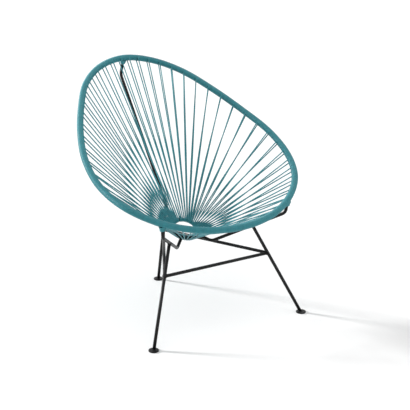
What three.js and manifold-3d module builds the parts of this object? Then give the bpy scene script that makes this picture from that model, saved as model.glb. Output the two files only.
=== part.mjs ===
// Acapulco chair: an egg-shaped steel hoop wound with PVC cord, a small steel seat ring at the bottom
// of the bowl, one long cord laced between the two, and a frame of three bent arms, three legs and
// three stretchers on foot discs.
// All lengths are in millimetres. The chair faces -Y, +X is to the right seen from the front, +Z is up
// and the floor is at Z = 0. "left" and "right" are those of somebody who looks at the chair's front.
import * as THREE from 'three';
import Module from 'manifold-3d';

// Hoop: the bent rod that the cord is wound on
const hoop_half_width = 362.4;
const hoop_half_depth = 398.5;
const hoop_front_height = 382.6;
const hoop_rise = 400.5;
const hoop_rod_diameter = 14;
// Half outline of its centre line from the top to the front edge: across, along and rise
const hoop_outline_shares = [
  [0, 1, 1], [0.29, 0.94, 0.96], [0.535, 0.77, 0.865], [0.72, 0.515, 0.73], [0.875, 0.23, 0.58],
  [0.98, -0.065, 0.44], [0.99, -0.35, 0.3], [0.88, -0.61, 0.18], [0.65, -0.815, 0.08],
  [0.35, -0.95, 0.02], [0, -1, 0],
];
const hoop_tension_share = 0.5;

// Seat ring: the small ring that every loop of cord goes round
const seat_ring_radius = 45.2;
const seat_ring_rod_diameter = 9.5;
const seat_ring_setback = -46.1;
const seat_ring_height = 264.2;
const seat_ring_tilt = 27;

// Cord and lacing
const cord_diameter = 3.8;
const fit_gap = 0.3;
// Each loop crosses itself: one run goes from the hoop's underside over the seat ring, the other from
// below the ring to the hoop on the sitter's side. This is how far the second one lies ahead
const hoop_run_shift = 3.8;
const ring_run_shift = 4.8;
// Clear space between the two where they cross, and between loops that crowd together beside an arm
const crossing_gap = 0.5;
const crowded_gap = 1.2;
// The three sectors between the arms, from the back arm round by the right: loops, stretches that they
// are divided into, and how the spacing on the hoop grows and shrinks from one end to the other
const lacing_sectors = [
  { loops: 20, stretches: 5, spacing_shares: [0.64, 0.98, 1.22, 1.22, 0.91, 1.03] },
  { loops: 12, stretches: 4, spacing_shares: [1, 1] },
  { loops: 20, stretches: 5, spacing_shares: [0.98, 0.79, 1.28, 1.23, 1.01, 0.68] },
];

// Support arms
const arm_rod_diameter = 11;
const arm_bend_radius = 26;
const front_arm_hoop_share = 0.399;
const front_arm_ring_angle = 138.5;
const front_arm_bend_inset = 8.3;
const front_arm_bend_drop = 50.5;
const front_arm_corner_reach = 95.2;
const front_arm_corner_angle = 134.4;
const front_arm_corner_height = 227.7;
const back_arm_bend_setback = 28;
const back_arm_bend_drop = 66;
const back_arm_corner_reach = 91.1;
const back_arm_corner_height = 258;

// Legs, stretchers and foot discs
const leg_rod_diameter = 11;
const front_foot_half_spread = 286.6;
const front_foot_reach = 347.2;
const rear_foot_reach = 155.3;
const front_leg_weld_share = 0.438;
const rear_leg_weld_share = 0.885;
const stretcher_rod_diameter = 11;
const stretcher_height = 209;
const foot_disc_diameter = 34;
const foot_disc_thickness = 4;
const foot_disc_edge = 1.2;

// How finely the curves are stepped
const hoop_sides = 6;
const hoop_steps_per_stretch = 4;
const cord_sides = 5;
const cord_bend_steps = 4;
const ring_sides = 8;
const ring_steps = 36;
const rod_sides = 10;
const bend_steps = 5;
const disc_steps = 24;
const hoop_arc_divisions = 800;
const spacing_steps = 400;
const gap_samples = 24;

const hoop_rod_radius = hoop_rod_diameter / 2;
const seat_ring_rod_radius = seat_ring_rod_diameter / 2;
const cord_radius = cord_diameter / 2;
const arm_radius = arm_rod_diameter / 2;
const leg_radius = leg_rod_diameter / 2;
const stretcher_radius = stretcher_rod_diameter / 2;
const up = new THREE.Vector3(0, 0, 1);
const across = new THREE.Vector3(1, 0, 0);

// Closed skins
// A skin joins a row of rings, each an array of points that turns anticlockwise seen from ahead
function skin(rings, closed) {
  const sides = rings[0].length;
  const positions = rings.flat().flatMap((point) => [point.x, point.y, point.z]);
  const index = [];
  const spans = closed ? rings.length : rings.length - 1;
  for (let i = 0; i < spans; i += 1) {
    const here = i * sides;
    const next = ((i + 1) % rings.length) * sides;
    for (let j = 0; j < sides; j += 1) {
      const k = (j + 1) % sides;
      index.push(here + j, here + k, next + k, here + j, next + k, next + j);
    }
  }
  if (!closed) {
    const last = (rings.length - 1) * sides;
    for (let j = 1; j < sides - 1; j += 1) {
      index.push(0, j + 1, j, last, last + j, last + j + 1);
    }
  }
  const geometry = new THREE.BufferGeometry();
  geometry.setAttribute('position', new THREE.Float32BufferAttribute(positions, 3));
  geometry.setIndex(index);
  return geometry;
}

// One ring of a round section: square to its normal, with its first point on the side of the guide
function sectionRing(centre, normal, guide, radius, sides) {
  const u = guide.clone().addScaledVector(normal, -guide.dot(normal)).normalize();
  const v = normal.clone().cross(u);
  return Array.from({ length: sides }, (_, i) => {
    const angle = (i / sides) * 2 * Math.PI;
    return centre.clone().addScaledVector(u, radius * Math.cos(angle))
      .addScaledVector(v, radius * Math.sin(angle));
  });
}

// A round rod along straight pieces, mitred at each corner; the first ring may lie in a given plane
function rod(points, radius, sides, startNormal) {
  const heading = (i) => points[i + 1].clone().sub(points[i]).normalize();
  let direction = heading(0);
  const guide = Math.abs(direction.dot(up)) < Math.abs(direction.dot(across)) ? up : across;
  let offsets = sectionRing(new THREE.Vector3(), direction, guide, radius, sides);
  const rings = points.map((point, i) => {
    const last = i === points.length - 1;
    const onward = i === 0 || last ? direction : heading(i);
    let normal = direction.clone().add(onward).normalize();
    if (i === 0 && startNormal) normal = startNormal;
    const ring = offsets.map((offset) => point.clone().add(offset)
      .addScaledVector(direction, -offset.dot(normal) / direction.dot(normal)));
    if (i > 0 && !last) {
      offsets = offsets.map((offset) => offset.clone()
        .addScaledVector(normal, -2 * offset.dot(normal)));
      direction = onward;
    }
    return ring;
  });
  return skin(rings, false);
}

// Corner points replaced by arcs of one bend radius
function roundedPath(corners, bendRadius) {
  const path = [corners[0]];
  for (let i = 1; i < corners.length - 1; i += 1) {
    const before = corners[i].clone().sub(corners[i - 1]).normalize();
    const after = corners[i + 1].clone().sub(corners[i]).normalize();
    const turn = before.angleTo(after);
    const inward = after.clone().addScaledVector(before, -Math.cos(turn)).normalize();
    const start = corners[i].clone().addScaledVector(before, -bendRadius * Math.tan(turn / 2));
    for (let j = 0; j <= bend_steps; j += 1) {
      const angle = (j / bend_steps) * turn;
      path.push(start.clone().addScaledVector(before, bendRadius * Math.sin(angle))
        .addScaledVector(inward, bendRadius * (1 - Math.cos(angle))));
    }
  }
  path.push(corners[corners.length - 1]);
  return path;
}

// Joins and cuts
const wasm = await Module();
wasm.setup();

function solid(geometry) {
  return new wasm.Manifold(new wasm.Mesh({
    numProp: 3,
    vertProperties: new Float32Array(geometry.attributes.position.array),
    triVerts: new Uint32Array(geometry.index.array),
  }));
}

function geometryOf(body) {
  const mesh = body.getMesh();
  const geometry = new THREE.BufferGeometry();
  geometry.setAttribute('position', new THREE.Float32BufferAttribute(mesh.vertProperties, mesh.numProp));
  geometry.setIndex(Array.from(mesh.triVerts));
  return geometry;
}

function cutBy(geometry, tools) {
  return geometryOf(tools.reduce((body, tool) => body.subtract(tool), solid(geometry)));
}

// Hoop centre line and the plane that it lies nearest to
const half = hoop_outline_shares.map(([x, y, z]) => new THREE.Vector3(
  x * hoop_half_width, y * hoop_half_depth, hoop_front_height + z * hoop_rise,
));
const mirrored = half.slice(1, -1).reverse().map((point) => new THREE.Vector3(-point.x, point.y, point.z));
const hoop = new THREE.CatmullRomCurve3([...half, ...mirrored], true, 'catmullrom', hoop_tension_share);
hoop.arcLengthDivisions = hoop_arc_divisions;
const tilt = THREE.MathUtils.degToRad(seat_ring_tilt);
const bowl_axis = new THREE.Vector3(0, -Math.sin(tilt), Math.cos(tilt));
const bowl_back = new THREE.Vector3(0, Math.cos(tilt), Math.sin(tilt));
const seat_centre = new THREE.Vector3(0, seat_ring_setback, seat_ring_height);

// Seat ring places: the angle is counted from the back round by the right
function ringOutward(angle) {
  return across.clone().multiplyScalar(Math.sin(angle)).addScaledVector(bowl_back, Math.cos(angle));
}

function ringPoint(angle) {
  return seat_centre.clone().addScaledVector(ringOutward(angle), seat_ring_radius);
}

// Lacing sectors: where each begins and ends, as shares of the hoop and as angles on the seat ring
const front_arm_angle = THREE.MathUtils.degToRad(front_arm_ring_angle);
const full_turn = 2 * Math.PI;
const sector_hoop_ends = [0, front_arm_hoop_share, 1 - front_arm_hoop_share, 1];
const sector_ring_ends = [0, front_arm_angle, full_turn - front_arm_angle, full_turn];

// Share of a sector's length that is used up after a count of loops, from its spacing shares
function spacingTable(loops, shares) {
  const table = [0];
  for (let i = 1; i <= spacing_steps; i += 1) {
    const place = ((i - 0.5) / spacing_steps) * (shares.length - 1);
    const low = Math.floor(place);
    table.push(table[i - 1] + shares[low] + (place - low) * (shares[low + 1] - shares[low]));
  }
  return (count) => {
    const place = (count / loops) * spacing_steps;
    const low = Math.min(Math.floor(place), spacing_steps - 1);
    return (table[low] + (place - low) * (table[low + 1] - table[low])) / table[spacing_steps];
  };
}

const sectors = lacing_sectors.map((sector, i) => ({
  ...sector,
  used: spacingTable(sector.loops, sector.spacing_shares),
  hoop_start: sector_hoop_ends[i],
  hoop_span: sector_hoop_ends[i + 1] - sector_hoop_ends[i],
  ring_start: sector_ring_ends[i],
  ring_span: sector_ring_ends[i + 1] - sector_ring_ends[i],
  first: lacing_sectors.slice(0, i).reduce((sum, before) => sum + before.loops, 0),
}));

function hoopShare(sector, count) {
  return sector.hoop_start + sector.hoop_span * sector.used(count);
}

// Hoop rings: one set of places serves the rod, its clearance and the winding on it
const hoop_places = sectors.flatMap((sector) => {
  const steps = sector.stretches * hoop_steps_per_stretch;
  return Array.from({ length: steps }, (_, i) => hoopShare(sector, (i / steps) * sector.loops));
});
const hoop_points = hoop_places.map((share) => hoop.getPointAt(share));
const hoop_normals = hoop_places.map((share) => hoop.getTangentAt(share));

function hoopRings(radius) {
  return hoop_points.map((point, i) => sectionRing(point, hoop_normals[i], bowl_axis, radius, hoop_sides));
}

const hoop_rod = skin(hoopRings(hoop_rod_radius), true);
const hoop_clearance = solid(skin(hoopRings(hoop_rod_radius + fit_gap), true));

// Seat ring
function seatRing(radius) {
  const rings = Array.from({ length: ring_steps }, (_, i) => {
    const angle = -(i / ring_steps) * full_turn;
    const ahead = ringOutward(angle).cross(bowl_axis).negate();
    return sectionRing(ringPoint(angle), ahead, bowl_axis, radius, ring_sides);
  });
  return skin(rings, true);
}
const seat_ring = seatRing(seat_ring_rod_radius);
const seat_ring_clearance = solid(seatRing(seat_ring_rod_radius + fit_gap));

// Support arms: hoop, short stub, bend, long slant, low corner, seat ring
const weld_depth_share = 0.5;

// The last point is drawn back from the axis that the rod is welded to, so that its end is coped
function drawnBack(from, axisPoint, radius) {
  const way = from.clone().sub(axisPoint).normalize();
  return axisPoint.clone().addScaledVector(way, radius * weld_depth_share);
}

function supportArm(hoopPlace, bend, corner, ringPlace) {
  return [
    drawnBack(bend, hoopPlace, hoop_rod_radius), bend, corner,
    drawnBack(corner, ringPlace, seat_ring_rod_radius),
  ];
}

function mirror(point) {
  return new THREE.Vector3(-point.x, point.y, point.z);
}

const right_hoop_place = hoop.getPointAt(front_arm_hoop_share);
const inward = seat_centre.clone().sub(right_hoop_place).setZ(0).normalize();
const right_bend = right_hoop_place.clone().addScaledVector(inward, front_arm_bend_inset)
  .addScaledVector(up, -front_arm_bend_drop);
const corner_angle = THREE.MathUtils.degToRad(front_arm_corner_angle);
const right_corner = new THREE.Vector3(
  front_arm_corner_reach * Math.sin(corner_angle),
  seat_ring_setback + front_arm_corner_reach * Math.cos(corner_angle),
  front_arm_corner_height,
);
const right_arm = supportArm(right_hoop_place, right_bend, right_corner, ringPoint(front_arm_angle));
const left_arm = right_arm.map(mirror);
const back_hoop_place = hoop.getPointAt(0);
const back_bend = new THREE.Vector3(
  0, back_hoop_place.y + back_arm_bend_setback, back_hoop_place.z - back_arm_bend_drop,
);
const back_corner = new THREE.Vector3(0, seat_ring_setback + back_arm_corner_reach, back_arm_corner_height);
const back_arm = supportArm(back_hoop_place, back_bend, back_corner, ringPoint(0));

function armBody(corners, radius) {
  return rod(roundedPath(corners, arm_bend_radius), radius, rod_sides);
}

const arms = { right: right_arm, left: left_arm, back: back_arm };
const arm_clearances = Object.fromEntries(Object.entries(arms)
  .map(([side, corners]) => [side, solid(armBody(corners, arm_radius + fit_gap))]));

// Legs: from the foot disc to the slant of the arm above
const right_foot = new THREE.Vector3(front_foot_half_spread, -front_foot_reach, 0);
const left_foot = mirror(right_foot);
const rear_foot = new THREE.Vector3(0, rear_foot_reach, 0);
const foot_top = foot_disc_thickness + fit_gap;

function legLine(foot, arm, share) {
  return { foot, top: arm[1].clone().lerp(arm[2], share) };
}

function legPoint(leg, height) {
  return leg.foot.clone().lerp(leg.top, (height - leg.foot.z) / (leg.top.z - leg.foot.z));
}

const legs = {
  right: legLine(right_foot, right_arm, front_leg_weld_share),
  left: legLine(left_foot, left_arm, front_leg_weld_share),
  back: legLine(rear_foot, back_arm, rear_leg_weld_share),
};

function legBody(leg, radius) {
  return rod([legPoint(leg, foot_top), drawnBack(leg.foot, leg.top, arm_radius)], radius, rod_sides, up);
}

const leg_clearances = Object.fromEntries(Object.entries(legs)
  .map(([side, leg]) => [side, solid(legBody(leg, leg_radius + fit_gap))]));

// Stretchers: a triangle between the legs; the side ones are coped on the front one
const joints = Object.fromEntries(Object.entries(legs)
  .map(([side, leg]) => [side, legPoint(leg, stretcher_height)]));

function stretcherBody(from, to, radius) {
  return rod([drawnBack(to, from, leg_radius), drawnBack(from, to, leg_radius)], radius, rod_sides);
}

// A block that takes away what reaches past the mirror plane, on one side of it
const mirror_block_size = (joints.right.x - joints.left.x) / 2;
function mirrorBlock(side) {
  const block = new THREE.BoxGeometry(mirror_block_size, mirror_block_size, mirror_block_size);
  block.translate(side * (mirror_block_size - fit_gap) / 2, joints.back.y, joints.back.z);
  return block;
}

function boxSolid(box) {
  const position = box.attributes.position;
  const corners = [];
  const index = Array.from(box.index.array, (i) => {
    const key = [position.getX(i), position.getY(i), position.getZ(i)];
    let at = corners.findIndex((corner) => corner.every((value, j) => value === key[j]));
    if (at < 0) at = corners.push(key) - 1;
    return at;
  });
  const geometry = new THREE.BufferGeometry();
  geometry.setAttribute('position', new THREE.Float32BufferAttribute(corners.flat(), 3));
  geometry.setIndex(index);
  return solid(geometry);
}

const front_stretcher_clearance = solid(stretcherBody(joints.left, joints.right, stretcher_radius + fit_gap));

// Foot disc: a low revolved disc with a rounded upper edge
function footDisc() {
  const radius = foot_disc_diameter / 2;
  const profile = [
    [0, 0], [radius, 0], [radius, foot_disc_thickness - foot_disc_edge],
    [radius - foot_disc_edge, foot_disc_thickness], [0, foot_disc_thickness],
  ].map(([x, y]) => new THREE.Vector2(x, y));
  const disc = new THREE.LatheGeometry(profile, disc_steps);
  disc.rotateX(Math.PI / 2);
  return disc;
}

// Cord loops: from the hoop's underside over the seat ring, round its inner side and back from below
// it to the hoop on the sitter's side
const lap_radius = cord_radius + fit_gap;
const hoop_lap = hoop_rod_radius + lap_radius;
const ring_lap = seat_ring_rod_radius + lap_radius;
const crossing_share = hoop_lap / (hoop_lap + ring_lap);
const ring_run_angle = ring_run_shift / seat_ring_radius;
const arm_berth_angle = (arm_radius + fit_gap + cord_radius) / seat_ring_radius;
const crowd_angle = (cord_diameter + crowded_gap) / seat_ring_radius;
// How much of the way aside to its berth beside an arm each corner of the bend has gone
const berth_blend_shares = [0, 0.2, 0.6, 1];
// How far a run is pushed aside at the crossing, as a share of what it lacks there
const push_share = 1.15;
// How much of the berth is left free on the inner side of the ring too
const inner_berth_share = 0.15;

// Direction of a run in the plane that is square to the seat ring there, and its length
function runFrom(angle, place) {
  const way = place.clone().sub(ringPoint(angle));
  return { slope: Math.atan2(way.dot(bowl_axis), way.dot(ringOutward(angle))), length: way.length() };
}

// A corner of the bend round the seat ring, which starts and ends where the crossed runs touch its lap
function bendCorner(angle, place, step) {
  const run = runFrom(angle, place);
  const lean = Math.asin((hoop_lap + ring_lap) / run.length);
  const bend_step = (Math.PI + 2 * lean) / cord_bend_steps;
  const round = run.slope + Math.PI / 2 - lean + bend_step * (step + 0.5);
  const radius = ring_lap / Math.cos(bend_step / 2);
  return ringPoint(angle).addScaledVector(ringOutward(angle), radius * Math.cos(round))
    .addScaledVector(bowl_axis, radius * Math.sin(round));
}

function loopPath(sector, count) {
  const share = hoopShare(sector, count + 0.5);
  const place = hoop.getPointAt(share);
  const ahead = hoop.getTangentAt(share);
  // The inner side of the ring is shared out evenly; below it the loops leave a berth for each arm
  const margin = arm_berth_angle * inner_berth_share;
  const inner = sector.ring_start + margin
    + (sector.ring_span - 2 * margin) * ((count + 0.5) / sector.loops);
  const first_berth = sector.ring_start + arm_berth_angle + crowd_angle * count;
  const last_berth = sector.ring_start + sector.ring_span - arm_berth_angle
    - crowd_angle * (sector.loops - 1 - count);
  const open_place = inner + ring_run_angle / 2;
  const moved = Math.min(Math.max(open_place, first_berth), last_berth) - open_place;
  const toRing = ringPoint(inner).sub(place).normalize();
  const side = ahead.clone().addScaledVector(toRing, -ahead.dot(toRing)).normalize();
  const lift = side.clone().cross(toRing);
  if (lift.dot(bowl_axis) < 0) lift.negate();
  const path = [place.clone().addScaledVector(lift, -hoop_lap).addScaledVector(ahead, -hoop_run_shift / 2)];
  for (let step = 0; step < cord_bend_steps; step += 1) {
    const shifted = inner + ring_run_angle * (step / (cord_bend_steps - 1) - 0.5);
    path.push(bendCorner(shifted + moved * berth_blend_shares[step], place, step));
  }
  const end = place.clone().addScaledVector(lift, hoop_lap).addScaledVector(ahead, hoop_run_shift / 2);
  // Where the two runs would touch as they cross, the second one is pushed aside
  const crossing = end.clone().lerp(path[cord_bend_steps], crossing_share);
  const apart = crossing.clone().sub(path[0].clone().lerp(path[1], crossing_share)).dot(side);
  const lack = cord_diameter + crossing_gap - apart;
  if (lack > 0) path.push(crossing.addScaledVector(side, lack * push_share));
  path.push(end);
  return path;
}

// Winding: the cord's close turns round the hoop, from one stretch end to the next
function windingBody(first, last) {
  const radius = hoop_rod_radius + fit_gap + cord_diameter;
  const places = Array.from({ length: last - first + 1 }, (_, i) => (first + i) % hoop_points.length);
  const rings = places.map((place, i) => {
    const neighbour = i === 0 ? places[1] : places[i - 1];
    const shift = i === 0 || i === places.length - 1 ? fit_gap / 2 : 0;
    const centre = hoop_points[place].clone()
      .addScaledVector(hoop_points[neighbour].clone().sub(hoop_points[place]).normalize(), shift);
    return sectionRing(centre, hoop_normals[place], bowl_axis, radius, hoop_sides);
  });
  return skin(rings, false);
}

const lacing = [];
const loop_paths = [];
let hoop_place = 0;
for (const sector of sectors) {
  const loops_each = sector.loops / sector.stretches;
  for (let stretch = 0; stretch < sector.stretches; stretch += 1) {
    let body = solid(windingBody(hoop_place, hoop_place + hoop_steps_per_stretch));
    hoop_place += hoop_steps_per_stretch;
    for (let i = 0; i < loops_each; i += 1) {
      const path = loopPath(sector, stretch * loops_each + i);
      loop_paths.push(path);
      body = body.add(solid(rod(path, cord_radius, cord_sides)));
    }
    body = body.subtract(hoop_clearance);
    for (const clearance of Object.values(arm_clearances)) body = body.subtract(clearance);
    lacing.push(geometryOf(body));
  }
}

// The least gap of the cord to itself, measured from points on it: of each loop to the next one, and
// of a loop's first run to its second
function sampled(path) {
  return path.slice(1).flatMap((end, i) => Array.from({ length: gap_samples },
    (_, j) => path[i].clone().lerp(end, j / gap_samples)));
}

function leastDistance(points, path) {
  const nearest = new THREE.Vector3();
  let least = Infinity;
  for (let i = 1; i < path.length; i += 1) {
    const span = new THREE.Line3(path[i - 1], path[i]);
    for (const point of points) {
      least = Math.min(least, span.closestPointToPoint(point, true, nearest).distanceTo(point));
    }
  }
  return least;
}

const loop_distances = loop_paths.map((path, i) => {
  const next = loop_paths[(i + 1) % loop_paths.length];
  return Math.min(leastDistance(sampled(path), next),
    leastDistance(sampled(path.slice(0, 2)), path.slice(cord_bend_steps)));
});
const least_gap = Math.min(...loop_distances) - cord_diameter;
console.log(`loops ${loop_paths.length}, least gap of the cord to itself ${least_gap.toFixed(2)} mm`);

// The chair
const chair = new THREE.Group();

function addPiece(name, geometry, colour, roughness, metalness) {
  geometry.computeVertexNormals();
  const piece = new THREE.Mesh(geometry, new THREE.MeshStandardMaterial({ color: colour, roughness, metalness }));
  piece.name = name;
  chair.add(piece);
  return piece;
}

function addSteel(name, geometry) {
  return addPiece(name, geometry, '#1c1c1e', 0.45, 0.3);
}

addSteel('hoop_rod', hoop_rod);
addSteel('seat_ring', seat_ring);
for (const [side, corners] of Object.entries(arms)) {
  addSteel(`support_arm_${side}`, cutBy(armBody(corners, arm_radius), [hoop_clearance, seat_ring_clearance]));
}
for (const [side, leg] of Object.entries(legs)) {
  addSteel(`leg_${side}`, cutBy(legBody(leg, leg_radius), [arm_clearances[side]]));
}
addSteel('stretcher_front', cutBy(stretcherBody(joints.left, joints.right, stretcher_radius),
  [leg_clearances.left, leg_clearances.right]));
for (const [side, sign] of [['right', -1], ['left', 1]]) {
  addSteel(`stretcher_${side}`, cutBy(stretcherBody(joints[side], joints.back, stretcher_radius), [
    leg_clearances[side], leg_clearances.back, front_stretcher_clearance, boxSolid(mirrorBlock(sign)),
  ]));
}
for (const [side, leg] of Object.entries(legs)) {
  addSteel(`foot_disc_${side}`, footDisc()).position.copy(leg.foot);
}
lacing.forEach((geometry, i) => {
  addPiece(`lacing_stretch_${String(i + 1).padStart(2, '0')}`, geometry, '#3d94a1', 0.4, 0);
});

// The origin is below the middle of the chair's box
const middle = new THREE.Box3().setFromObject(chair).getCenter(new THREE.Vector3());
chair.position.y = -middle.y;

export default chair;
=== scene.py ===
# %% [markdown]
# # An Acapulco chair in Blender
# The real chair is a black steel rod frame that carries a big egg-shaped hoop. A single PVC cord is wound
# close round the hoop and, every few centimetres, dives down to a small ring at the bottom of the bowl,
# goes round it and comes back up. This lesson follows that cord: first the hoop as a curve, then the
# stations where the cord leaves it, then the cord's whole route as one array of points.
# Every length is in millimetres until a mesh is made, where it turns to Blender's metres.

# %% Frame and tools
import math

import bpy
import mathutils
import numpy as np
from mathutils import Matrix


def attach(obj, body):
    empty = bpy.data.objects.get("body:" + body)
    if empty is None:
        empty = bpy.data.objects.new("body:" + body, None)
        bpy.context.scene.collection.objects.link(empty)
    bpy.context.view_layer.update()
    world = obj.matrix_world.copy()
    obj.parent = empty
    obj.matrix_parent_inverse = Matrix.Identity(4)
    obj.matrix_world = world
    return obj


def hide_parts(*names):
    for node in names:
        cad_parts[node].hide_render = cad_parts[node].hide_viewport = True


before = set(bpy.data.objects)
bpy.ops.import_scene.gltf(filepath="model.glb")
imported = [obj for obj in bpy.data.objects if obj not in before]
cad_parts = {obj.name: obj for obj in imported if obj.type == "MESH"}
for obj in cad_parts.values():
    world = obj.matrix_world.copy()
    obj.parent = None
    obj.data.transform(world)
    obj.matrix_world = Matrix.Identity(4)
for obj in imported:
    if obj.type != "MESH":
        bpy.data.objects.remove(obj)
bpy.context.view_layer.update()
print(len(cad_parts), "CAD nodes")


# %% [markdown]
# ## Sizes
# The numbers are the ones that the solid model was made with, so each piece lands on its solid. The
# frame's origin is on the floor below the middle of the chair, which lies a little behind the point that
# the sizes are measured from, so every place is moved by the same small setback.

# %% Sizes of the chair in millimetres
MM = 0.001
SETBACK = np.array([0, -9.020, 0])
# Half width, half depth and rise of the hoop, and the right half of its outline in shares of them
HOOP_SIZE = np.array([362.4, 398.5, 400.5])
HOOP_FRONT_HEIGHT = 382.6
HOOP_SHARES = np.array([
    [0, 1, 1], [0.29, 0.94, 0.96], [0.535, 0.77, 0.865], [0.72, 0.515, 0.73], [0.875, 0.23, 0.58],
    [0.98, -0.065, 0.44], [0.99, -0.35, 0.3], [0.88, -0.61, 0.18], [0.65, -0.815, 0.08],
    [0.35, -0.95, 0.02], [0, -1, 0]])
# Diameters of the rods and the cord, and the gap that the solids keep from each other
HOOP_ROD, RING_ROD, CORD, ROD, GAP = 14.0, 9.5, 3.8, 11.0, 0.3
RING_RADIUS, RING_TILT = 45.2, math.radians(27)
RING_CENTRE = np.array([0, -46.1, 264.2])
BOWL_AXIS = np.array([0, -math.sin(RING_TILT), math.cos(RING_TILT)])
BOWL_BACK = np.array([0, math.cos(RING_TILT), math.sin(RING_TILT)])
# Where the right arm meets the hoop, as a share of the way round it from the top, and the ring
ARM_SHARE, ARM_RING_ANGLE = 0.399, math.radians(138.5)


def unit(v):
    """A vector, or each row of an array, divided by its own length."""
    v = np.asarray(v, float)
    return v / np.linalg.norm(v, axis=-1, keepdims=True)


def running_length(line):
    """The distance along a line at each of its points: 0, then the sum of the steps up to there."""
    return np.concatenate([[0], np.cumsum(np.linalg.norm(np.diff(line, axis=0), axis=1))])


print("rods of", ROD, "mm, hoop rod of", HOOP_ROD, "mm and cord of", CORD, "mm")


# %% [markdown]
# ## Camera
# The photograph is taken from the front left, a little above the seat, with a long lens: lines that run
# away from the eye hardly converge. The place and the lens come from matching the feet, the stretcher
# joints and the hoop's outline to where they lie in the picture.

# %% Camera
SENSOR, PICTURE_PIXELS, FOCAL_PIXELS = 36, 410, 1084.96
eye = (np.array([-1727.3, -3107.7, 1590.5]) + SETBACK) * MM
aim = (np.array([0, -183.3, 392.4]) + SETBACK) * MM
camera_data = bpy.data.cameras.new("camera")
camera_data.sensor_width = SENSOR
camera_data.lens = SENSOR * FOCAL_PIXELS / PICTURE_PIXELS
camera_data.clip_end = 50
camera = bpy.data.objects.new("camera", camera_data)
camera.location = eye
camera.rotation_euler = mathutils.Vector(aim - eye).to_track_quat("-Z", "Y").to_euler()
bpy.context.scene.collection.objects.link(camera)
bpy.context.scene.camera = camera
print("camera to aim:", round(float(np.linalg.norm(aim - eye)), 3), "m")


# %% [markdown]
# ## Surfaces from a path
# Nearly everything here is a round bar or cord that follows a path. One function carries a circle along
# the path. It needs, at each point, a direction that it counts as "outward", so that neighbouring circles
# are not twisted against each other, and it builds all points and faces as whole arrays.

# %% Tube along a path
def tube(points, outward, radius, sides, closed=False):
    """Vertices and quads of a tube: point + radius * (cos a * u + sin a * v), where u is the outward
    direction made square to the path and v is square to both. Radius may be one number or one a point.
    Each end of an open tube is closed by triangles round its middle point."""
    points = np.asarray(points, float)
    if closed:
        ahead = unit(np.roll(points, -1, 0) - np.roll(points, 1, 0))
    else:
        ahead = unit(np.gradient(points, axis=0))
    outward = np.broadcast_to(outward, points.shape)
    u = unit(outward - (outward * ahead).sum(1, keepdims=True) * ahead)
    v = np.cross(ahead, u)
    angle = np.arange(sides) / sides * 2 * np.pi
    radius = np.broadcast_to(radius, len(points))[:, None, None]
    vertices = points[:, None] + radius * (np.cos(angle)[None, :, None] * u[:, None]
                                           + np.sin(angle)[None, :, None] * v[:, None])
    vertices = vertices.reshape(-1, 3)
    rows = np.arange(len(points) if closed else len(points) - 1)[:, None]
    here = np.arange(sides)
    after = (here + 1) % sides
    upper = (rows + 1) % len(points)
    quads = np.stack([rows * sides + here, rows * sides + after,
                      upper * sides + after, upper * sides + here], -1).reshape(-1, 4)
    if closed:
        return vertices, quads
    start, end = np.full(sides, len(vertices)), np.full(sides, len(vertices) + 1)
    last = (len(points) - 1) * sides
    caps = np.concatenate([np.stack([start, after, here], -1),
                           np.stack([end, last + here, last + after], -1)])
    return np.vstack([vertices, points[:1], points[-1:]]), quads, caps


def surface(name, parts, material, attributes=None):
    """One smooth mesh from parts of (vertices, quads) or (vertices, quads, triangles), which rides on the
    chair's one body. Its place in metres = (place in millimetres + setback) * 0.001."""
    vertices, faces, at = [], [], 0
    for part in parts:
        vertices.append(part[0])
        for group in part[1:]:
            faces += (group + at).tolist()
        at += len(part[0])
    mesh = bpy.data.meshes.new(name)
    mesh.from_pydata((np.vstack(vertices) + SETBACK) * MM, [], faces)
    mesh.polygons.foreach_set("use_smooth", np.full(len(mesh.polygons), True))
    for key, values in (attributes or {}).items():
        layer = mesh.attributes.new(key, "FLOAT", "POINT")
        layer.data.foreach_set("value", np.concatenate(values).astype(np.float32))
    mesh.materials.append(material)
    mesh.update()
    piece = bpy.data.objects.new(name, mesh)
    bpy.context.scene.collection.objects.link(piece)
    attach(piece, "root")
    return piece


print("a tube of 3 rings with 4 sides has", len(tube(np.eye(3), [1, 1, 1], 1, 4)[1]), "quads")


# %% [markdown]
# ## Helpers for finishes
# A colour in a picture is stored with a curve on it (sRGB). Shaders work with plain light, so one
# function undoes that curve for every colour, and one small function adds a node with its settings.

# %% Colour and node helpers
def linear(hex_colour):
    """sRGB hex to linear RGBA: below 0.04045 divide by 12.92, above it ((c + 0.055) / 1.055) ** 2.4."""
    c = np.array([int(hex_colour[i:i + 2], 16) for i in (1, 3, 5)]) / 255
    c = np.where(c <= 0.04045, c / 12.92, ((c + 0.055) / 1.055) ** 2.4)
    return (*c, 1.0)


def add(tree, kind, inputs=(), **settings):
    """A node of that kind. inputs maps socket names or numbers to a value or to another node's output."""
    node = tree.nodes.new(kind)
    for key, value in settings.items():
        setattr(node, key, value)
    for key, value in dict(inputs).items():
        socket = node.inputs[key]
        if isinstance(value, bpy.types.NodeSocket):
            tree.links.new(value, socket)
        else:
            socket.default_value = value
    return node


def finish_of(name):
    """A new material with its tree emptied, its shader and its Object coordinates."""
    material = bpy.data.materials.new(name)
    material.use_nodes = True
    tree = material.node_tree
    tree.nodes.clear()
    shader = add(tree, "ShaderNodeBsdfPrincipled")
    add(tree, "ShaderNodeOutputMaterial", {"Surface": shader.outputs[0]})
    place = add(tree, "ShaderNodeTexCoord").outputs["Object"]
    return material, tree, shader, place


print("middle grey is", round(float(linear("#808080")[0]), 3), "of white in plain light")


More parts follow.
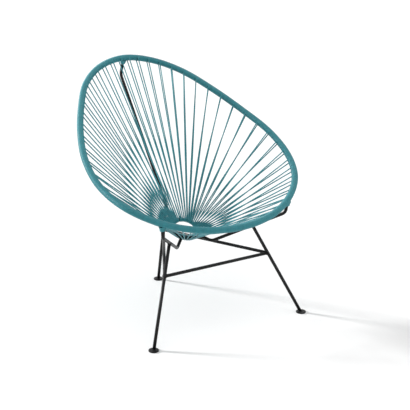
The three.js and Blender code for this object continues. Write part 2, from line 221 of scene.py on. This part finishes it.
# %% [markdown]
# ## Black powder coat on steel
# The frame is mild steel rod, welded, then powder coated: a dry plastic powder is sprayed on and baked.
# It flows out to a satin film with a faint orange peel a millimetre or so across. That peel and a very
# slight mottling of gloss are all that a clean, new coat shows. The powder holds a matting agent, so its
# reflection is set below that of clear plastic.

# %% Powder coat
PEEL, MOTTLE, PEEL_DEPTH = 1.6 * MM, 30 * MM, 0.15 * MM
powder_coat, tree, shader, place = finish_of("black_powder_coat")
peel = add(tree, "ShaderNodeTexNoise", {"Vector": place, "Scale": 1 / PEEL, "Detail": 2.0})
mottle = add(tree, "ShaderNodeTexNoise", {"Vector": place, "Scale": 1 / MOTTLE, "Detail": 3.0})
tone = add(tree, "ShaderNodeValToRGB", {"Fac": mottle.outputs["Fac"]})
for element, position, colour in zip(tone.color_ramp.elements, (0.3, 0.7), ("#080809", "#0e0f10")):
    element.position, element.color = position, linear(colour)
gloss = add(tree, "ShaderNodeMapRange", {"Value": mottle.outputs["Fac"], "To Min": 0.34, "To Max": 0.46})
bump = add(tree, "ShaderNodeBump", {"Height": peel.outputs["Fac"], "Strength": 0.12,
                                    "Distance": PEEL_DEPTH})
for socket, node in (("Base Color", tone), ("Roughness", gloss), ("Normal", bump)):
    tree.links.new(node.outputs[0], shader.inputs[socket])
shader.inputs["IOR"].default_value = 1.5
shader.inputs["Specular IOR Level"].default_value = 0.2
print("powder coat with a peel of", round(PEEL / MM, 1), "mm")

# %% [markdown]
# ## Teal PVC cord
# The cord is soft PVC, extruded as one long solid string and wound while warm. The skin is satin and
# finely speckled, and the colour drifts a little along its length because the pigment is mixed in
# batches. "cord_along" is the distance along the cord in millimetres, kept on each point of the mesh, so
# the drift follows the cord and not the room.

# %% Extruded PVC
DRIFT, SPECKLE, SPECKLE_DEPTH = 180.0, 0.9 * MM, 0.1 * MM
teal_pvc, tree, shader, place = finish_of("teal_pvc")
along = add(tree, "ShaderNodeAttribute", attribute_name="cord_along", attribute_type="GEOMETRY")
drift = add(tree, "ShaderNodeTexNoise", {"W": along.outputs["Fac"], "Scale": 1 / DRIFT, "Detail": 3.0},
            noise_dimensions="1D")
speckle = add(tree, "ShaderNodeTexNoise", {"Vector": place, "Scale": 1 / SPECKLE, "Detail": 2.0})
tone = add(tree, "ShaderNodeValToRGB", {"Fac": drift.outputs["Fac"]})
for element, position, colour in zip(tone.color_ramp.elements, (0.3, 0.7), ("#237c86", "#2b8690")):
    element.position, element.color = position, linear(colour)
gloss = add(tree, "ShaderNodeMapRange", {"Value": drift.outputs["Fac"], "To Min": 0.38, "To Max": 0.5})
bump = add(tree, "ShaderNodeBump", {"Height": speckle.outputs["Fac"], "Strength": 0.1,
                                    "Distance": SPECKLE_DEPTH})
for socket, node in (("Base Color", tone), ("Roughness", gloss), ("Normal", bump)):
    tree.links.new(node.outputs[0], shader.inputs[socket])
shader.inputs["IOR"].default_value = 1.53
print("PVC whose colour drifts over about", DRIFT, "mm of cord")


# %% [markdown]
# ## The hoop as a curve
# A bender shapes the hoop by eye to a smooth egg outline. Here it is a closed Catmull-Rom spline through
# a few points, mirrored left to right: each piece between two points is a cubic that also looks at the
# points before and after, so the whole line is smooth. A table of running length then lets any distance
# along the hoop be turned into a place.

# %% Hoop centre line
def catmull_rom(p, steps):
    """For each four points a, b, c and d in turn and steps of t from 0 to 1:
    0.5 * (2b + (c - a) t + (2a - 5b + 4c - d) t^2 + (3b - a - 3c + d) t^3)."""
    a, b, c, d = (np.roll(p, k, 0)[:, None] for k in (1, 0, -1, -2))
    t = (np.arange(steps) / steps)[None, :, None]
    return (0.5 * (2 * b + (c - a) * t + (2 * a - 5 * b + 4 * c - d) * t ** 2
                   + (3 * b - a - 3 * c + d) * t ** 3)).reshape(-1, 3)


half = HOOP_SHARES * HOOP_SIZE + [0, 0, HOOP_FRONT_HEIGHT]
fine = catmull_rom(np.vstack([half, half[1:-1][::-1] * [-1, 1, 1]]), steps=200)
fine = np.vstack([fine, fine[:1]])
run_length = running_length(fine)
PERIMETER = run_length[-1]


def on_hoop(s):
    """Places on the hoop's centre line at distances s from the top, going down its right side: between
    two points of the fine line, the share of the way that the distance has covered."""
    s = np.mod(s, PERIMETER)
    return np.stack([np.interp(s, run_length, fine[:, k]) for k in range(3)], -1)


def hoop_ahead(s):
    """Unit direction of travel: the place a millimetre on, less the place a millimetre back."""
    return unit(on_hoop(np.asarray(s) + 1) - on_hoop(np.asarray(s) - 1))


print("hoop perimeter", round(PERIMETER), "mm")

# %% [markdown]
# ## Stations of the lacing
# The weaver does not space the runs evenly. They are close at the top, widest at the sides and close
# again at the front, and the two sides differ a little because the eye, not a ruler, sets them. On the
# small ring the loops lie side by side. The three welded arms divide the hoop and the ring into sectors:
# right side, front and left side. Below the ring a loop has to keep clear of the arm that ends there.

# %% Stations on hoop and ring
# Of each sector: its loops, the stretches that they are cut into, and how wide the spacing is along it
SECTORS = [(20, 5, [0.64, 0.98, 1.22, 1.22, 0.91, 1.03]), (12, 4, [1, 1]),
           (20, 5, [0.98, 0.79, 1.28, 1.23, 1.01, 0.68])]
SPACING_STEPS, SECTOR_STEPS = 400, 60
# Angles on the ring: kept free beside an arm below and above, least step below, and move aside in a loop
BERTH = (ROD / 2 + GAP + CORD / 2) / RING_RADIUS
UPPER_BERTH = 0.15 * BERTH
CROWD = (CORD + 1.2) / RING_RADIUS
ASIDE = 4.8 / RING_RADIUS
hoop_ends = np.array([0, ARM_SHARE, 1 - ARM_SHARE, 1]) * PERIMETER
ring_ends = np.array([0, ARM_RING_ANGLE, 2 * np.pi - ARM_RING_ANGLE, 2 * np.pi])


def used(count, loops, shares):
    """Share of a sector's length used up after a count of loops: the running sum of the spacing shares."""
    grid = np.linspace(0, loops, SPACING_STEPS + 1)
    spacing = np.interp(grid, np.linspace(0, loops, len(shares)), shares)
    total = np.concatenate([[0], np.cumsum((spacing[1:] + spacing[:-1]) / 2)])
    return np.interp(count, grid, total / total[-1])


stations, inner_angles, below_angles, cuts, grid_s, grid_angle = ([] for _ in range(6))
for i, (loops, stretches, shares) in enumerate(SECTORS):
    k = np.arange(loops)
    span, turn = hoop_ends[i + 1] - hoop_ends[i], ring_ends[i + 1] - ring_ends[i]
    even = np.linspace(0, 1, SECTOR_STEPS + 1)[:-1]
    stations.append(hoop_ends[i] + span * used(k + 0.5, loops, shares))
    cuts.append(hoop_ends[i] + span * used(np.arange(stretches) * (loops // stretches), loops, shares))
    grid_s.append(hoop_ends[i] + span * used(loops * even, loops, shares))
    grid_angle.append(ring_ends[i] + turn * even)
    inner = ring_ends[i] + UPPER_BERTH + (turn - 2 * UPPER_BERTH) * (k + 0.5) / loops
    first = ring_ends[i] + BERTH + CROWD * k
    last = ring_ends[i + 1] - BERTH - CROWD * (loops - 1 - k)
    inner_angles.append(inner)
    below_angles.append(np.minimum(np.maximum(inner + ASIDE / 2, first), last))
stations, cuts = np.concatenate(stations), np.concatenate(cuts)
inner_angles, below_angles = np.concatenate(inner_angles), np.concatenate(below_angles)
grid_s = np.concatenate(grid_s + [[PERIMETER]])
grid_angle = np.concatenate(grid_angle + [[2 * np.pi]])
print(len(stations), "stations,", len(cuts), "stretches")


# %% [markdown]
# ## Directions at the hoop and the ring
# A cord that goes round a bar needs to know which way is inward, towards the ring, and which is the
# sitter's side. At the hoop these follow from the place on the ring that a spot of the hoop faces.

# %% Directions
def ring_outward(angle):
    """Direction from the ring's middle, counted from the back round by the right."""
    angle = np.asarray(angle)[..., None]
    return np.sin(angle) * np.array([1, 0, 0]) + np.cos(angle) * BOWL_BACK


def on_ring(angle):
    """Places on the centre line of the ring's rod: middle + radius * outward direction."""
    return RING_CENTRE + RING_RADIUS * ring_outward(angle)


def hoop_cross(s):
    """Two directions at places on the hoop, both square to it: inward, which is the way to the ring less
    its part along the hoop, and the sitter's side, which is square to inward."""
    ahead = hoop_ahead(s)
    angle = np.interp(np.mod(s, PERIMETER), grid_s, grid_angle)
    way = on_ring(angle) - on_hoop(s)
    inward = unit(way - (way * ahead).sum(-1, keepdims=True) * ahead)
    side = unit(np.cross(ahead, inward))
    side *= np.sign((side * BOWL_AXIS).sum(-1, keepdims=True))
    return inward, side


print("ring from", *on_ring(np.pi).round(1), "to", *on_ring(0).round(1))

# %% [markdown]
# ## The winding on the hoop
# From one station to the next the cord is wound over the hoop's outer side, turn beside turn. Because the
# runs of the lacing meet the winding as tangents, the turning never changes direction.

# %% One winding
HOOP_LAP = HOOP_ROD / 2 + GAP + CORD / 2
PITCH = CORD + 0.05
TURN_STEPS, LEAN = 18, 0.4


def winding(k):
    """Turns from station k to the next: the angle rises evenly from 90 degrees to 360 m - 90 degrees for
    m turns, while the place moves evenly along the hoop. On the inner side, where cos angle is above 0,
    each turn leans towards the nearer station by up to 0.4 pitch * cos angle, which closes the gap that a
    leaving cord makes. Point = hoop place + lap * (cos angle * inward + sin angle * side)."""
    start, end = stations[k], stations[(k + 1) % len(stations)]
    if end < start:
        end += PERIMETER
    m = max(1, round((end - start) / PITCH))
    pitch = (end - start) / m
    angle = np.linspace(np.pi / 2, 2 * np.pi * m - np.pi / 2, int((m - 0.5) * TURN_STEPS) + 1)
    lean = np.interp(angle, [2 * np.pi, 2 * np.pi * (m - 1)], [-LEAN, LEAN])
    s = np.linspace(start + pitch / 4, end - pitch / 4, len(angle))
    s = s + lean * pitch * np.maximum(np.cos(angle), 0)
    inward, side = hoop_cross(s)
    outward = np.cos(angle)[:, None] * inward + np.sin(angle)[:, None] * side
    return on_hoop(s) + HOOP_LAP * outward, outward, s


windings = [winding(k) for k in range(len(stations))]
print(len(windings), "windings, the first with", len(windings[0][0]), "points")

# %% [markdown]
# ## The loops round the ring
# At a station the cord leaves the hoop from its underside, goes over the ring, round its inner side and
# back below it, and comes up to the hoop on the sitter's side, one cord further on. So the two runs of
# a loop cross like a crossed belt, and where they would touch they push each other aside. A run is
# straight, because the cord is pulled tight.

# %% One loop
RING_LAP = RING_ROD / 2 + GAP + CORD / 2
CROSSING = HOOP_LAP / (HOOP_LAP + RING_LAP)
RUN_STEPS, BEND_STEPS = 3, 16
# Shares of the bend, and how much of the move to the place below the ring is done at each
BEND_SHARES, MOVED_SHARES = [0.125, 0.375, 0.625, 0.875], [0, 0.2, 0.6, 1]


def straight(start, middle, end, start_out):
    """Points of a run from start over its crossing to end, without the ends. The outward direction turns
    half round the run on the way: cos(pi t) * start's outward direction + sin(pi t) * sideways."""
    t = np.linspace(0, 1, RUN_STEPS + 1)[:, None]
    line = np.vstack([start + (middle - start) * t[1:], middle + (end - middle) * t[1:-1]])
    share = (np.linalg.norm(line - start, axis=1) / np.linalg.norm(end - start))[:, None]
    sideways = np.cross(unit(end - start), start_out)
    return line, np.cos(np.pi * share) * start_out + np.sin(np.pi * share) * sideways


def loop(k, leave, arrive):
    """Run to the ring, bend round it, run back. The bend turns from slope + 90 - lean to slope + 270 + lean
    degrees in the plane square to the ring, where sin(lean) = both laps / length of the run, while it moves
    aside from the loop's place above the ring to its place below."""
    place = on_hoop(stations[k])
    u = np.linspace(0, 1, BEND_STEPS + 1)
    moved = below_angles[k] - inner_angles[k] - ASIDE / 2
    angle = (inner_angles[k] + ASIDE * (np.interp(u, [BEND_SHARES[0], BEND_SHARES[-1]], [0, 1]) - 0.5)
             + moved * np.interp(u, BEND_SHARES, MOVED_SHARES))
    way = place - on_ring(angle)
    slope = np.arctan2(way @ BOWL_AXIS, (way * ring_outward(angle)).sum(1))
    lean = np.arcsin((HOOP_LAP + RING_LAP) / np.linalg.norm(way, axis=1))
    turn = slope + np.pi / 2 - lean + (np.pi + 2 * lean) * u
    outward = np.cos(turn)[:, None] * ring_outward(angle) + np.sin(turn)[:, None] * BOWL_AXIS
    bend = on_ring(angle) + RING_LAP * outward
    to_ring = unit(-way[len(way) // 2])
    ahead = hoop_ahead(stations[k])
    sideways = unit(ahead - (ahead @ to_ring) * to_ring)
    first = leave[0] + (bend[0] - leave[0]) * CROSSING
    second = arrive[0] + (bend[-1] - arrive[0]) * CROSSING
    push = max(0, PITCH - (second - first) @ sideways) / 2
    down, down_out = straight(leave[0], first - push * sideways, bend[0], leave[1])
    up, up_out = straight(bend[-1], second + push * sideways, arrive[0], outward[-1])
    return np.vstack([down, bend, up]), np.vstack([down_out, outward, up_out])


print("the two runs of a loop cross at", round(CROSSING, 2), "of the way from the hoop to the ring")

# %% [markdown]
# ## The whole cord
# Windings and loops follow each other all the way round, and the cord starts and ends beside the back
# arm, under the winding. Each point keeps its outward direction and the hoop distance that decides which
# stretch it is in.

# %% Cord route
points, outward, where = [], [], []
for k, after in enumerate(windings):
    before = windings[k - 1]
    run, run_out = loop(k, (before[0][-1], before[1][-1]), (after[0][0], after[1][0]))
    points += [before[0], run]
    outward += [before[1], run_out]
    where += [np.mod(before[2], PERIMETER), np.full(len(run), stations[k])]
points = np.vstack(points + [after[0][:1]])
outward = np.vstack(outward + [after[1][:1]])
where = np.concatenate(where + [stations[-1:]])
cord_along = running_length(points)
print("cord", round(cord_along[-1] / 1000, 1), "m in", len(points), "points")

# %% [markdown]
# ## Cutting the route into stretches
# One mesh for eighty-five metres of cord would be too heavy, so the tube is made in stretches, each the
# stand-in for one solid of the frame. Neighbouring stretches share their border point, so no seam shows.
# The cord is drawn 0.4 mm thicker than the solids' cord, on the same centre line: soft PVC that is pulled
# tight presses its turns together, and no light comes through between them.

# %% Cord meshes
CORD_SIDES, CORD_ROUND = 8, 4.2


def cord_piece(name, runs):
    """Cord through runs of (points, outward directions, distances along the cord): one tube for each,
    whose vertices keep the distance of their own ring or end point."""
    tubes = [tube(line, out, CORD_ROUND / 2, CORD_SIDES) for line, out, _ in runs]
    kept = [np.concatenate([np.repeat(far, CORD_SIDES), far[[0, -1]]]) for _, _, far in runs]
    piece = surface(name, tubes, teal_pvc, attributes={"cord_along": kept})
    return piece


stretch_of = np.searchsorted(cuts, where, side="right") - 1
breaks = np.flatnonzero(np.diff(stretch_of)) + 1
chains = {}
for a, b in zip([0, *breaks], [*breaks, len(points)]):
    chains.setdefault(int(stretch_of[a]), []).append(slice(a, min(b + 1, len(points))))
for stretch, slices in sorted(chains.items()):
    runs = [(points[c], outward[c], cord_along[c]) for c in slices]
    piece = cord_piece(f"cord_stretch_{stretch + 1:02d}", runs)
    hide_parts(f"lacing_stretch_{stretch + 1:02d}")
print(len(chains), "cord stretches,",
      sum(len(points[c]) for slices in chains.values() for c in slices) * 2 * CORD_SIDES, "triangles")


# %% [markdown]
# ## Steel rods
# Legs and stretchers are straight cuts of one round rod, and each support arm is one rod bent twice in a
# plane. A bend is an arc that touches both straight parts. Their ends run into the rod that they are
# welded to, where the bead hides them.

# %% Straight and bent rods
ROD_SIDES, BEND_RADIUS, ARC_STEPS = 24, 26, 10
NEARLY_STRAIGHT = 1e-3


def rounded(corner_points):
    """Each inner corner replaced by an arc: start + r * (sin a * before + (1 - cos a) * inward)."""
    path = [corner_points[0]]
    for a, b, c in zip(corner_points, corner_points[1:], corner_points[2:]):
        before, after = unit(b - a), unit(c - b)
        turn = math.acos(float(before @ after))
        inward = unit(after - before * math.cos(turn))
        angle = np.linspace(0, turn, ARC_STEPS + 1)[:, None]
        path += list(b - before * BEND_RADIUS * math.tan(turn / 2)
                     + BEND_RADIUS * (np.sin(angle) * before + (1 - np.cos(angle)) * inward))
    return np.array(path + [corner_points[-1]])


def steel(name, path, node):
    """A rod along a path that lies in a plane: outward is that plane's normal, so nothing twists. For a
    straight path it is the normal of the upright plane through it."""
    path = np.asarray(path, float)
    normal = np.cross(path[1] - path[0], path[-1] - path[len(path) // 2])
    if np.linalg.norm(normal) < NEARLY_STRAIGHT:
        normal = np.cross(path[-1] - path[0], [0, 0, 1.0])
    piece = surface(name, [tube(path, unit(normal), ROD / 2, ROD_SIDES)], powder_coat)
    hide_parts(node)


print("a bend has", ARC_STEPS, "steps and", BEND_RADIUS, "mm of radius")

# %% [markdown]
# ## The two closed rods
# The hoop and the seat ring are rods bent round until their ends meet, and welded there. Both vanish under
# the cord, so their joints need no bead and their round needs few sides.

# %% Hoop rod and seat ring
BAR_SIDES, HOOP_STEPS, RING_STEPS = 16, 240, 96
s = np.linspace(0, PERIMETER, HOOP_STEPS + 1)[:-1]
hoop_tube = tube(on_hoop(s), hoop_cross(s)[0], HOOP_ROD / 2, BAR_SIDES, closed=True)
angle = np.linspace(0, 2 * np.pi, RING_STEPS + 1)[:-1]
ring_tube = tube(on_ring(angle), ring_outward(angle), RING_ROD / 2, BAR_SIDES, closed=True)
for name, bar, node in (("hoop_bar", hoop_tube, "hoop_rod"), ("ring_bar", ring_tube, "seat_ring")):
    piece = surface(name, [bar], powder_coat)
    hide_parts(node)
    print(name, "with", len(bar[1]), "faces")

# %% [markdown]
# ## Support arms
# Each arm leaves the hoop as a short stub, bends into a long slant along the outside of the bowl, bends
# once more at a low corner and ends at the ring. Four places give its straight parts: the left arm is
# the right one mirrored, and the back arm lies in the chair's middle plane.

# %% Support arms
MIRROR = np.array([-1, 1, 1])
END_SHORT = 3
STUB_INWARD, STUB_DROP, BACK_STUB = 8.3, 50.5, np.array([0, 28, -66])
# The low corners: distance from the ring's middle seen from above, angle from the back, and height
CORNER_OUT, CORNER_ANGLE, CORNER_HEIGHT = 95.2, math.radians(134.4), 227.7
BACK_CORNER_OUT, BACK_CORNER_HEIGHT = 91.1, 258

top, right_place = on_hoop(0), on_hoop(ARM_SHARE * PERIMETER)
inward = unit((RING_CENTRE - right_place) * [1, 1, 0])
right_bend = right_place + inward * STUB_INWARD - [0, 0, STUB_DROP]
right_corner = np.array([CORNER_OUT * math.sin(CORNER_ANGLE),
                         RING_CENTRE[1] + CORNER_OUT * math.cos(CORNER_ANGLE), CORNER_HEIGHT])
back_corner = [0, RING_CENTRE[1] + BACK_CORNER_OUT, BACK_CORNER_HEIGHT]
arms = {"right": np.array([right_place, right_bend, right_corner, on_ring(ARM_RING_ANGLE)])}
arms["left"] = arms["right"] * MIRROR
arms["back"] = np.array([top, top + BACK_STUB, back_corner, on_ring(0)])
for side, arm in arms.items():
    path = rounded(arm)
    path[0] += unit(path[1] - path[0]) * END_SHORT
    path[-1] += unit(path[-2] - path[-1]) * END_SHORT
    steel(f"arm_{side}", path, f"support_arm_{side}")
    print("support arm", side, round(float(running_length(path)[-1])), "mm")

# %% [markdown]
# ## Cord round the arms
# Where an arm meets the hoop, the winding goes on for a few turns round the arm itself and fills the
# corner between the two rods, so the black rod comes out of a small teal collar.

# %% Collars
COLLAR_TURNS, COLLAR_START, COLLAR_FLARE, FLARE_POWER = 4, HOOP_LAP - 1, 3.2, 1.5
arm_places = {"right": ARM_SHARE * PERIMETER, "left": -ARM_SHARE * PERIMETER, "back": 0}


def collar(side):
    """A helix down the arm: place + radius * (cos a * u + sin a * v), where the radius is the rod's and
    the cord's and, more and more towards the hoop, up to 3.2 mm."""
    start, way = arms[side][0], unit(arms[side][1] - arms[side][0])
    ahead = hoop_ahead(arm_places[side])
    u = unit(ahead - way * (way @ ahead))
    v = np.cross(way, u)
    a = np.linspace(0, 2 * np.pi * COLLAR_TURNS, TURN_STEPS * COLLAR_TURNS + 1)
    down = COLLAR_START + PITCH * a / (2 * np.pi)
    out = np.cos(a)[:, None] * u + np.sin(a)[:, None] * v
    radius = ROD / 2 + CORD / 2 + COLLAR_FLARE * (1 - a / a[-1])[:, None] ** FLARE_POWER
    line = start + down[:, None] * way + radius * out
    far = running_length(line)
    cord_piece(f"arm_collar_{side}", [(line, out, far)])
    return far[-1]


print("collars:", [round(float(collar(side))) for side in arms], "mm of cord each")

# %% [markdown]
# ## Legs and stretchers
# Each leg runs straight from its foot disc up to the slant of its arm. The three stretchers join the legs
# in a level triangle, well below the bowl, and keep them from spreading.

# %% Legs and stretchers
STRETCHER_HEIGHT, LEG_START, LEG_MIDDLE = 209, 3.4, 100
STRETCHERS = (("front", "left", "right"), ("right", "right", "back"), ("left", "left", "back"))
feet = {"right": np.array([286.6, -347.2, 0]), "back": np.array([0, 155.3, 0])}
feet["left"] = feet["right"] * MIRROR
# How far down the arm's slant each leg is welded, as a share of the slant
weld_shares = {"right": 0.438, "left": 0.438, "back": 0.885}
tops = {side: arms[side][1] + (arms[side][2] - arms[side][1]) * weld_shares[side] for side in feet}
leg_way = {side: unit(tops[side] - feet[side]) for side in feet}


def on_leg(side, height):
    """The place on a leg's centre line at a height: foot + way * height / way's own rise."""
    return feet[side] + leg_way[side] * height / leg_way[side][2]


joints = {side: on_leg(side, STRETCHER_HEIGHT) for side in feet}
for side in feet:
    steel(f"leg_bar_{side}", [on_leg(side, LEG_START), on_leg(side, LEG_MIDDLE), tops[side]], f"leg_{side}")
for name, a, b in STRETCHERS:
    steel(f"stretcher_bar_{name}", [joints[a], (joints[a] + joints[b]) / 2, joints[b]], f"stretcher_{name}")
print("legs:", {side: round(float(np.linalg.norm(tops[side] - feet[side]))) for side in feet}, "mm")

# %% [markdown]
# ## Foot discs
# Each leg stands on a small round steel disc, welded on, that keeps the rod from sinking into a lawn. It
# is turned, so it is a profile spun about an upright axis, with a soft rounded upper edge.

# %% Foot discs
DISC, THICK, EDGE_ROUND, EDGE_STEPS, DISC_SIDES = 34.0, 4.0, 1.2, 6, 48
LOWER_EDGE = [[0, 0], [DISC / 2 - 0.5, 0], [DISC / 2, 0.4]]


def revolved(profile, middle):
    """A profile of (radius, height) rows spun about the upright axis: middle + (radius * cos a, radius *
    sin a, height). Both ends of the profile lie on that axis."""
    profile = np.asarray(profile, float)
    turn = np.arange(DISC_SIDES) / DISC_SIDES * 2 * np.pi
    radius, height = profile[1:-1, :1], profile[1:-1, 1:]
    vertices = np.stack([radius * np.cos(turn), radius * np.sin(turn), height + 0 * turn], -1)
    vertices = vertices.reshape(-1, 3)
    low, high, last = len(vertices), len(vertices) + 1, len(vertices) - DISC_SIDES
    vertices = np.vstack([vertices, [0, 0, profile[0, 1]], [0, 0, profile[-1, 1]]]) + middle
    rows, here = np.arange(len(radius) - 1)[:, None] * DISC_SIDES, np.arange(DISC_SIDES)
    after = (here + 1) % DISC_SIDES
    quads = np.stack([rows + here, rows + after, rows + DISC_SIDES + after, rows + DISC_SIDES + here], -1)
    caps = np.concatenate([np.stack([np.full(DISC_SIDES, low), after, here], -1),
                           np.stack([np.full(DISC_SIDES, high), last + here, last + after], -1)])
    return vertices, quads.reshape(-1, 4), caps


edge = np.linspace(0, np.pi / 2, EDGE_STEPS + 1)
rim = np.stack([DISC / 2 - EDGE_ROUND + EDGE_ROUND * np.cos(edge),
                THICK - EDGE_ROUND + EDGE_ROUND * np.sin(edge)], -1)
for side, foot in feet.items():
    disc = revolved(np.vstack([LOWER_EDGE, rim, [[0, THICK]]]), foot)
    piece = surface(f"foot_plate_{side}", [disc], powder_coat)
    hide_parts(f"foot_disc_{side}")
print("three foot discs of", DISC, "mm")

# %% [markdown]
# ## Weld beads
# Where two rods meet, a welder runs a small bead round the joint. It follows the saddle line where one
# cylinder enters the other, and its surface has the ripples of the cooling drops. The flat top of a foot
# disc counts as the top of a very wide cylinder, so the same function makes the bead there.

# %% Beads round the joints
BEAD, FOOT_BEAD, BEAD_SIDES, BEAD_STEPS = 2.0, 1.4, 10, 96
FLAT_RADIUS, FLAT_WAY = 1000.0, np.array([1.0, 0, 0])
NO_ROD_WAY = [0.3, 0.5, 0.8]
# Where the lines along a rod start: heights on a leg, and distance from an arm's low corner
UPPER_START, FOOT_START, END_START = 150, 60, 5


def bead(name, begin, way, other, other_way, other_radius, size=BEAD):
    """For each angle round the rod, a line along it is met with the other rod's cylinder: the distance t
    solves |offset + t * way, without its part along the other axis| = other radius. The bead is a tube
    along those points with the radius size * (1 + 0.12 sin 17 a + 0.08 sin(7 a + 1))."""
    def across(x):
        return x - (x @ other_way)[..., None] * other_way

    a = np.arange(BEAD_STEPS) / BEAD_STEPS * 2 * np.pi
    u = unit(np.cross(way, NO_ROD_WAY))
    v = np.cross(way, u)
    out = np.cos(a)[:, None] * u + np.sin(a)[:, None] * v
    start = begin + ROD / 2 * out - other
    d, o = across(way[None])[0], across(start)
    qa, qb, qc = d @ d, 2 * (o @ d), (o * o).sum(1) - other_radius ** 2
    t = (-qb - np.sqrt(np.clip(qb ** 2 - 4 * qa * qc, 0, None))) / (2 * qa)
    line = start + other + t[:, None] * way
    ripple = size * (1 + 0.12 * np.sin(a * 17) + 0.08 * np.sin(a * 7 + 1))
    piece = surface(name, [tube(line, out, ripple, BEAD_SIDES, closed=True)], powder_coat)


ring_angles = {"right": ARM_RING_ANGLE, "left": -ARM_RING_ANGLE, "back": 0}
for side in feet:
    _, bend, corner, ring_end = arms[side]
    end_way, ring_way = unit(ring_end - corner), unit(np.cross(BOWL_AXIS, ring_outward(ring_angles[side])))
    bead(f"weld_leg_{side}", on_leg(side, UPPER_START), leg_way[side], tops[side],
         unit(corner - bend), ROD / 2)
    bead(f"weld_ring_{side}", corner + end_way * END_START, end_way, ring_end, ring_way, RING_ROD / 2)
    bead(f"weld_foot_{side}", on_leg(side, FOOT_START), -leg_way[side],
         feet[side] - [0, 0, FLAT_RADIUS - THICK], FLAT_WAY, FLAT_RADIUS, size=FOOT_BEAD)
for name, a, b in STRETCHERS:
    way, middle = unit(joints[b] - joints[a]), (joints[a] + joints[b]) / 2
    bead(f"weld_{name}_{b}_leg", middle, way, joints[b], leg_way[b], ROD / 2)
    bead(f"weld_{name}_{a}_leg", middle, -way, joints[a], leg_way[a], ROD / 2)
print(3 * len(feet) + 2 * len(STRETCHERS), "weld beads")

# %% [markdown]
# ## Floor
# The photograph shows the chair on white, with a streak of shadow from each foot. The floor is a large
# sheet of matt, nearly white paper that the lamps bring just to white, so what the chair takes from them
# stays as its shadow.

# %% Floor
FLOOR_HALF = 30
corners = [(-FLOOR_HALF, -FLOOR_HALF, 0), (FLOOR_HALF, -FLOOR_HALF, 0),
           (FLOOR_HALF, FLOOR_HALF, 0), (-FLOOR_HALF, FLOOR_HALF, 0)]
floor_mesh = bpy.data.meshes.new("floor")
floor_mesh.from_pydata(corners, [], [(0, 1, 2, 3)])
floor = bpy.data.objects.new("floor", floor_mesh)
bpy.context.scene.collection.objects.link(floor)
paper = bpy.data.materials.new("white_paper")
paper.use_nodes = True
tree = paper.node_tree
tree.nodes.clear()
matt = add(tree, "ShaderNodeBsdfDiffuse", {"Color": (0.95, 0.95, 0.95, 1)})
add(tree, "ShaderNodeOutputMaterial", {"Surface": matt.outputs[0]})
floor_mesh.materials.append(paper)
print("a paper floor of", 2 * FLOOR_HALF, "m")

# %% [markdown]
# ## Two whites in one world
# Light Path says what kind of ray asks for the world's colour. A camera, glossy or transmission ray finds
# white, so the chair stands before white and mirrors it. Any other ray finds a faint grey, so hardly any
# of the light on the chair comes from there and the lamps decide its level.

# %% World
WHITE, FAINT = 1.0, 0.1
world = bpy.data.worlds.new("studio")
world.use_nodes = True
tree = world.node_tree
tree.nodes.clear()
ray = add(tree, "ShaderNodeLightPath")
seen = add(tree, "ShaderNodeMath", {0: ray.outputs["Is Camera Ray"], 1: ray.outputs["Is Glossy Ray"]},
           operation="MAXIMUM")
seen = add(tree, "ShaderNodeMath", {0: seen.outputs[0], 1: ray.outputs["Is Transmission Ray"]},
           operation="MAXIMUM")
back = add(tree, "ShaderNodeBackground", {"Color": (1, 1, 1, 1), "Strength": WHITE})
fill = add(tree, "ShaderNodeBackground", {"Color": (1, 1, 1, 1), "Strength": FAINT})
mix = add(tree, "ShaderNodeMixShader", {0: seen.outputs[0], 1: fill.outputs[0], 2: back.outputs[0]})
add(tree, "ShaderNodeOutputWorld", {"Surface": mix.outputs[0]})
bpy.context.scene.world = world
bpy.context.scene.view_settings.view_transform = "Standard"
print("world of", WHITE, "to the eye and", FAINT, "as light")

# %% [markdown]
# ## Lamps
# A lamp behind the chair, low at the left, draws the streaks to the right, and soft light from above
# fills the rest. Both are suns, because the light of a near lamp falls off and would leave the far floor
# grey. They light a pale surface just to white and no further, so colours render about as written.

# %% Lamps
def sun(name, towards, width, strength):
    """A sun that stands in that direction and is so many degrees wide in the sky: its own Z axis is
    turned to point at where it stands. A wide one gives soft shadows."""
    data = bpy.data.lights.new(name, "SUN")
    data.angle, data.energy = math.radians(width), strength
    item = bpy.data.objects.new(name, data)
    item.rotation_euler = mathutils.Vector(towards).to_track_quat("Z", "Y").to_euler()
    bpy.context.scene.collection.objects.link(item)
    print(name, "sun,", width, "degrees wide, strength", strength)


sun("rear", (-0.612, 0.721, 0.326), width=8, strength=4.3)
sun("soft", (-0.05, -0.28, 0.96), width=120, strength=2.05)
